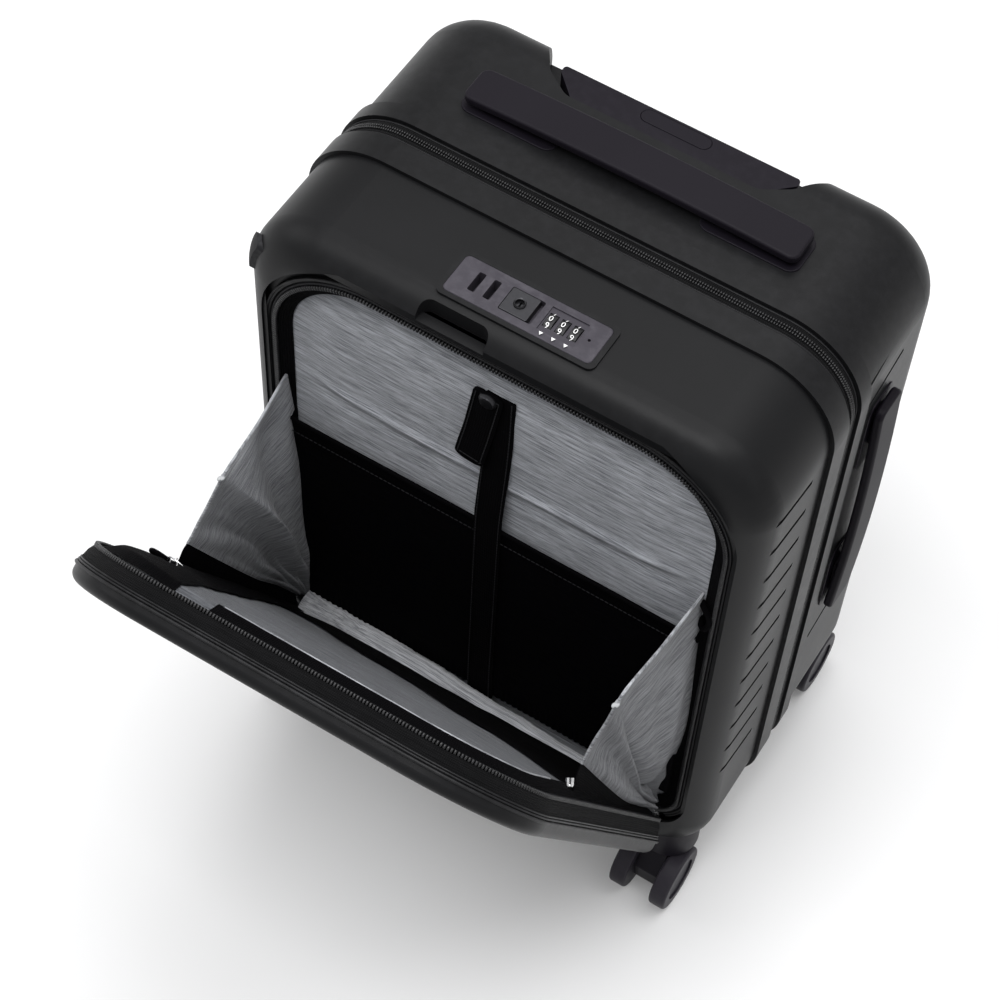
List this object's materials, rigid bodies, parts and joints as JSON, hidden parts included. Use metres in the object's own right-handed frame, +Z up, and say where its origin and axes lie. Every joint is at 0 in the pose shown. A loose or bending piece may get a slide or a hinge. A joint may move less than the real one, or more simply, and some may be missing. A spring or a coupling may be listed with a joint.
{
  "type": "hard-shell cabin suitcase",
  "caption": "Hard-shell rolling cabin case with a fold-down front pocket, sliding pull handle, carry handles, combination lock and swivelling twin wheels.",
  "frame": {"origin": "on the floor, in the middle of the whole part's footprint with the front door open as at rest", "axes": "+Z up, -Y towards the front pocket, +X towards the side carry handle"},
  "size_m": [0.3804, 0.4643, 0.56],
  "materials": {
    "shell": "satin moulded hard shell, fine matte texture",
    "trim": "satin dark grey moulded trim",
    "grip": "soft-touch dark grey",
    "tape": "black woven zip tape with nylon coil",
    "lining": "heathered light grey lining",
    "sleeve": "black ribbed pocket fabric",
    "strap": "black webbing",
    "metal": "black painted zinc",
    "tube": "anodised dark grey",
    "tread": "dark grey wheel",
    "dial": "black dials",
    "chrome": "bright slider"
  },
  "bodies": {
    "rear": {"rear_shell": "shell", "rear_wall": "shell", "rear_lip": "shell", "rear_lining": "lining", "rear_lining_back": "lining", "rear_zip_tape": "tape", "main_zip_slider": "metal", "carry_guide_left": "trim", "carry_guide_right": "trim", "side_guide_lower": "trim", "side_guide_upper": "trim", "pull_guide_left": "tube", "pull_guide_right": "tube", "pull_bezel": "trim", "rear_foot_lower": "trim", "rear_foot_upper": "trim", "housing_rear_left": "trim", "housing_rear_right": "trim"},
    "front": {"front_shell": "shell", "front_zip_tape": "tape", "pocket_zip_tape": "tape", "pocket_panel": "lining", "laptop_sleeve": "sleeve", "sleeve_strap": "strap", "strap_tab": "strap", "lock_housing": "trim", "front_foot_lower": "trim", "front_foot_upper": "trim", "housing_front_left": "trim", "housing_front_right": "trim", "gusset_left": "lining", "gusset_right": "lining", "pocket_floor": "lining", "pocket_slider": "chrome"},
    "door": {"door_shell": "shell", "door_zip_tape": "tape", "door_panel": "lining"},
    "pull_handle": {"pull_tube_left": "tube", "pull_tube_right": "tube", "pull_grip": "trim"},
    "grip_button": {"grip_button": "trim"},
    "carry_handle": {"carry_handle": "grip"},
    "side_handle": {"side_handle": "grip"},
    "lock_button": {"lock_button": "metal"},
    "dial_a": {"lock_dial_a": "dial"},
    "dial_b": {"lock_dial_b": "dial"},
    "dial_c": {"lock_dial_c": "dial"},
    "main_zip_pull": {"main_zip_pull": "metal"},
    "fork_front_left": {"fork_front_left": "trim"},
    "wheel_front_left_inner": {"wheel_front_left_inner": "tread"},
    "wheel_front_left_outer": {"wheel_front_left_outer": "tread"},
    "fork_front_right": {"fork_front_right": "trim"},
    "wheel_front_right_inner": {"wheel_front_right_inner": "tread"},
    "wheel_front_right_outer": {"wheel_front_right_outer": "tread"},
    "fork_rear_left": {"fork_rear_left": "trim"},
    "wheel_rear_left_inner": {"wheel_rear_left_inner": "tread"},
    "wheel_rear_left_outer": {"wheel_rear_left_outer": "tread"},
    "fork_rear_right": {"fork_rear_right": "trim"},
    "wheel_rear_right_inner": {"wheel_rear_right_inner": "tread"},
    "wheel_rear_right_outer": {"wheel_rear_right_outer": "tread"}
  },
  "joints": [
    {"name": "clamshell", "type": "hinge", "parent": "rear", "child": "front", "pos_m": [-0.19175, 0.09466, 0.3], "axis": [0, 0, 1], "range_deg": [-175, 0]},
    {"name": "door_fold", "type": "hinge", "parent": "front", "child": "door", "pos_m": [-0.00425, -0.01034, 0.105], "axis": [0.9969, -0.0785, 0], "range_deg": [-28.6, 0], "deforming": ["gusset_left", "gusset_right", "pocket_floor"]},
    {"name": "pull_extend", "type": "slide", "parent": "rear", "child": "pull_handle", "axis": [0, 0, 1], "range_m": [0, 0.37]},
    {"name": "grip_press", "type": "slide", "parent": "pull_handle", "child": "grip_button", "axis": [0, 0, -1], "range_m": [0, 0.0018], "stiffness_N_per_m": 400, "springref_m": -0.0015},
    {"name": "carry_lift", "type": "slide", "parent": "rear", "child": "carry_handle", "axis": [0, 0, 1], "range_m": [0, 0.012]},
    {"name": "side_lift", "type": "slide", "parent": "rear", "child": "side_handle", "axis": [1, 0, 0], "range_m": [0, 0.012], "stiffness_N_per_m": 60, "springref_m": -0.01},
    {"name": "lock_press", "type": "slide", "parent": "front", "child": "lock_button", "axis": [1, 0, 0], "range_m": [0, 0.0025], "stiffness_N_per_m": 300, "springref_m": -0.001},
    {"name": "dial_a_turn", "type": "hinge", "parent": "front", "child": "dial_a", "pos_m": [0.01135, 0.02266, 0.5406], "axis": [1, 0, 0], "continuous": true},
    {"name": "dial_b_turn", "type": "hinge", "parent": "front", "child": "dial_b", "pos_m": [0.01965, 0.02266, 0.5406], "axis": [1, 0, 0], "continuous": true},
    {"name": "dial_c_turn", "type": "hinge", "parent": "front", "child": "dial_c", "pos_m": [0.02795, 0.02266, 0.5406], "axis": [1, 0, 0], "continuous": true},
    {"name": "zip_pull_swing", "type": "hinge", "parent": "rear", "child": "main_zip_pull", "pos_m": [-0.06425, 0.09466, 0.0515], "axis": [0, 1, 0], "range_deg": [-85, 85]},
    {"name": "swivel_front_left", "type": "hinge", "parent": "front", "child": "fork_front_left", "pos_m": [-0.15675, 0.01066, 0.053], "axis": [0, 0, 1], "continuous": true},
    {"name": "spin_front_left_inner", "type": "hinge", "parent": "fork_front_left", "child": "wheel_front_left_inner", "pos_m": [-0.14025, -0.00734, 0.0255], "axis": [1, 0, 0], "continuous": true},
    {"name": "spin_front_left_outer", "type": "hinge", "parent": "fork_front_left", "child": "wheel_front_left_outer", "pos_m": [-0.17325, -0.00734, 0.0255], "axis": [1, 0, 0], "continuous": true},
    {"name": "swivel_front_right", "type": "hinge", "parent": "front", "child": "fork_front_right", "pos_m": [0.14825, 0.01066, 0.053], "axis": [0, 0, 1], "continuous": true},
    {"name": "spin_front_right_inner", "type": "hinge", "parent": "fork_front_right", "child": "wheel_front_right_inner", "pos_m": [0.13175, -0.00734, 0.0255], "axis": [1, 0, 0], "continuous": true},
    {"name": "spin_front_right_outer", "type": "hinge", "parent": "fork_front_right", "child": "wheel_front_right_outer", "pos_m": [0.16475, -0.00734, 0.0255], "axis": [1, 0, 0], "continuous": true},
    {"name": "swivel_rear_left", "type": "hinge", "parent": "rear", "child": "fork_rear_left", "pos_m": [-0.15675, 0.18866, 0.053], "axis": [0, 0, 1], "continuous": true},
    {"name": "spin_rear_left_inner", "type": "hinge", "parent": "fork_rear_left", "child": "wheel_rear_left_inner", "pos_m": [-0.14025, 0.20666, 0.0255], "axis": [1, 0, 0], "continuous": true},
    {"name": "spin_rear_left_outer", "type": "hinge", "parent": "fork_rear_left", "child": "wheel_rear_left_outer", "pos_m": [-0.17325, 0.20666, 0.0255], "axis": [1, 0, 0], "continuous": true},
    {"name": "swivel_rear_right", "type": "hinge", "parent": "rear", "child": "fork_rear_right", "pos_m": [0.14825, 0.18866, 0.053], "axis": [0, 0, 1], "continuous": true},
    {"name": "spin_rear_right_inner", "type": "hinge", "parent": "fork_rear_right", "child": "wheel_rear_right_inner", "pos_m": [0.13175, 0.20666, 0.0255], "axis": [1, 0, 0], "continuous": true},
    {"name": "spin_rear_right_outer", "type": "hinge", "parent": "fork_rear_right", "child": "wheel_rear_right_outer", "pos_m": [0.16475, 0.20666, 0.0255], "axis": [1, 0, 0], "continuous": true}
  ]
}
